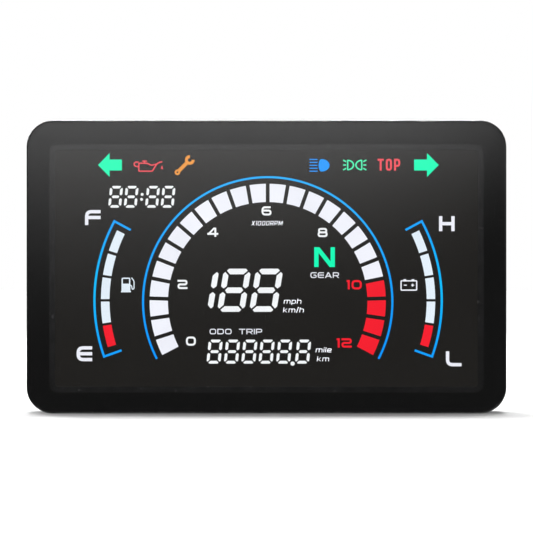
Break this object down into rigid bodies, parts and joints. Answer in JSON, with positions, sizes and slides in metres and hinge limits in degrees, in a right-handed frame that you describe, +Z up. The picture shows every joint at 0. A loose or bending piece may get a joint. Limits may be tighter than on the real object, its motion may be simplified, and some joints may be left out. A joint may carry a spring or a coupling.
{
  "type": "instrument cluster",
  "caption": "Slim motorcycle instrument cluster: smoked full-face lens over a segment display, sealed two-part case, rear studs, harness socket and two push buttons.",
  "frame": {"origin": "centre of the four rear mounting studs, on the plane where the isolator pads meet the bracket", "axes": "+Z up, +X to the rider's right and along the width, +Y the way the rider looks, along the studs and away from the display"},
  "size_m": [0.16, 0.043, 0.0976],
  "materials": {
    "smoked_lens": "glossy hard-coated smoked clear plastic",
    "black_print": "black screen print",
    "black_tape": "bonding tape",
    "bezel_plastic": "fine-textured black moulding",
    "case_plastic": "fine-textured black glass-filled moulding",
    "gasket_foam": "closed-cell foam",
    "seal_rubber": "satin silicone rubber",
    "pad_rubber": "matte rubber",
    "display_glass": "polished",
    "polariser_film": "glossy dark film",
    "colour_film": "printed translucent film",
    "diffuser": "milky white sheet",
    "white_plastic": "bright white reflector plastic",
    "lamp": "clear-capped lamp",
    "board": "green solder mask",
    "chip_plastic": "moulded epoxy",
    "tinned": "tinned",
    "can_aluminium": "drawn can",
    "ferrite": "ferrite",
    "passives": "ceramic chips",
    "socket_plastic": "glass-filled moulding",
    "pin_gold": "gold-plated",
    "zinc_steel": "zinc-plated steel",
    "screw_steel": "dark zinc-plated steel",
    "spring_steel": "bright spring wire",
    "button_plastic": "satin black moulding",
    "membrane": "porous white disc"
  },
  "bodies": {
    "housing": {"cover_lens": "smoked_lens", "lens_mask": "black_print", "lens_tape": "black_tape", "front_bezel": "bezel_plastic", "dust_gasket": "gasket_foam", "lcd_front_polariser": "polariser_film", "lcd_front_glass": "display_glass", "lcd_rear_glass": "display_glass", "lcd_rear_polariser": "polariser_film", "colour_film": "colour_film", "diffuser_sheet": "diffuser", "lcd_contact_pins": "tinned", "light_box": "white_plastic", "backlight_leds": "lamp", "main_board": "board", "case_screws": "screw_steel", "board_screws": "screw_steel", "microcontroller": "chip_plastic", "microcontroller_leads": "tinned", "display_drivers": "chip_plastic", "driver_leads": "tinned", "memory_chip": "chip_plastic", "voltage_regulator": "chip_plastic", "power_inductor": "ferrite", "timing_crystal": "tinned", "protection_diodes": "chip_plastic", "filter_capacitors": "can_aluminium", "chip_passives": "passives", "mode_switch": "chip_plastic", "mode_button_spring": "spring_steel", "set_switch": "chip_plastic", "set_button_spring": "spring_steel", "harness_socket": "socket_plastic", "socket_pins": "pin_gold", "socket_seal": "seal_rubber", "rear_case": "case_plastic", "case_seal": "seal_rubber", "vent_membrane": "membrane", "vent_cap": "case_plastic", "mounting_studs": "zinc_steel", "isolator_pads": "pad_rubber"},
    "mode_button": {"mode_button_cap": "button_plastic", "mode_button_ring": "seal_rubber", "mode_switch_plunger": "chip_plastic"},
    "set_button": {"set_button_cap": "button_plastic", "set_button_ring": "seal_rubber", "set_switch_plunger": "chip_plastic"}
  },
  "joints": [
    {"name": "mode_press", "type": "slide", "parent": "housing", "child": "mode_button", "axis": [0, -1, 0], "range_m": [0, 0.001], "stiffness_N_per_m": 800, "springref_m": -0.0015, "deforming": ["mode_button_spring"]},
    {"name": "set_press", "type": "slide", "parent": "housing", "child": "set_button", "axis": [0, -1, 0], "range_m": [0, 0.001], "stiffness_N_per_m": 800, "springref_m": -0.0015, "deforming": ["set_button_spring"]}
  ]
}
